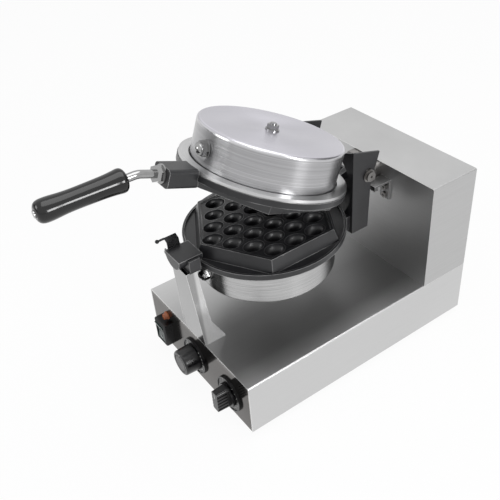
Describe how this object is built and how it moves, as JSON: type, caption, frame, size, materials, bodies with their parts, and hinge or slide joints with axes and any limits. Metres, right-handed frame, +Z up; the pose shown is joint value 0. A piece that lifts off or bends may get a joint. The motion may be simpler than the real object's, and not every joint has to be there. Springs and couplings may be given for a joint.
{
  "type": "bubble waffle maker",
  "caption": "Rotating bubble waffle maker: round hinged pans with hexagonal egg moulds on a stainless box base with rear tower, front post, knobs and handle.",
  "frame": {"origin": "on the table, under the middle of the outline of the whole object with the lid standing open and the handle forward", "axes": "+Z up; -Y is the front with the controls and the handle; +Y is the rear with the tower; +X is to the right of a user who faces the controls"},
  "size_m": [0.25, 0.5584, 0.3779],
  "materials": {
    "brushed_stainless": "fine brushed",
    "mirror_stainless": "bright rolled",
    "polished_steel": "polished",
    "coated_casting": "dark non-stick coating on cast aluminium",
    "dark_powder_coat": "satin powder coat",
    "black_gloss_plastic": "polished moulding",
    "black_plastic": "satin moulding",
    "green_plastic": "moulded",
    "amber_plastic": "translucent",
    "black_rubber": "matt",
    "heater_steel": "dull",
    "inner_plastic": "matt"
  },
  "bodies": {
    "base": {"base_housing": "brushed_stainless", "front_panel": "mirror_stainless", "bottom_plate": "brushed_stainless", "rubber_feet": "black_rubber", "tower_housing": "brushed_stainless", "rear_cover": "brushed_stainless", "cover_screws": "polished_steel", "support_post": "brushed_stainless", "journal_saddle": "coated_casting", "lamp_lens": "amber_plastic", "switch_body": "black_plastic", "thermostat_dial": "black_plastic", "timer_dial": "black_plastic", "thermostat_unit": "inner_plastic", "timer_unit": "inner_plastic", "terminal_block": "inner_plastic", "cable_gland": "black_plastic", "swivel_bearing": "polished_steel", "stop_bracket": "brushed_stainless", "stop_screws": "polished_steel"},
    "head": {"swivel_shaft": "polished_steel", "shaft_nut": "polished_steel", "stop_arm": "polished_steel", "pan_bracket": "dark_powder_coat", "bracket_bolts": "polished_steel", "lower_ring": "coated_casting", "lower_plate": "coated_casting", "lower_heater": "heater_steel", "lower_can": "brushed_stainless", "lower_can_nut": "polished_steel", "lower_dome_nut": "polished_steel", "latch_pin": "polished_steel"},
    "latch": {"latch_strip": "polished_steel", "latch_finger": "polished_steel"},
    "hinge_pins": {"hinge_screws": "polished_steel"},
    "lid": {"upper_ring": "coated_casting", "upper_plate": "coated_casting", "upper_heater": "heater_steel", "upper_can": "brushed_stainless", "upper_can_nut": "polished_steel", "upper_dome_nut": "polished_steel", "upper_flange": "brushed_stainless", "handle_rod": "polished_steel", "handle_nut": "polished_steel", "handle_grip": "black_gloss_plastic", "grip_end_cap": "polished_steel"},
    "thermostat_knob_body": {"thermostat_knob": "black_plastic"},
    "timer_knob_body": {"timer_knob": "black_plastic"},
    "rocker_body": {"rocker": "green_plastic"}
  },
  "joints": [
    {"name": "head_swivel", "type": "hinge", "parent": "base", "child": "head", "pos_m": [0, 0.17923, 0.23], "axis": [0, 1, 0], "range_deg": [0, 100]},
    {"name": "lid_float", "type": "slide", "parent": "head", "child": "hinge_pins", "axis": [0, 0, 1], "range_m": [0, 0.006]},
    {"name": "lid_hinge", "type": "hinge", "parent": "hinge_pins", "child": "lid", "pos_m": [0, 0.13223, 0.264], "axis": [-1, 0, 0], "range_deg": [-21, 20]},
    {"name": "latch_swing", "type": "hinge", "parent": "head", "child": "latch", "pos_m": [-0.0208, -0.12077, 0.224], "axis": [0, -1, 0], "range_deg": [0, 70]},
    {"name": "thermostat_turn", "type": "hinge", "parent": "base", "child": "thermostat_knob_body", "pos_m": [-0.008, -0.13077, 0.044], "axis": [0, 1, 0], "range_deg": [0, 270]},
    {"name": "timer_turn", "type": "hinge", "parent": "base", "child": "timer_knob_body", "pos_m": [0.077, -0.13077, 0.041], "axis": [0, 1, 0], "range_deg": [0, 300]},
    {"name": "rocker_tilt", "type": "hinge", "parent": "base", "child": "rocker_body", "pos_m": [-0.086, -0.12877, 0.039], "axis": [1, 0, 0], "range_deg": [-10, 0]}
  ]
}
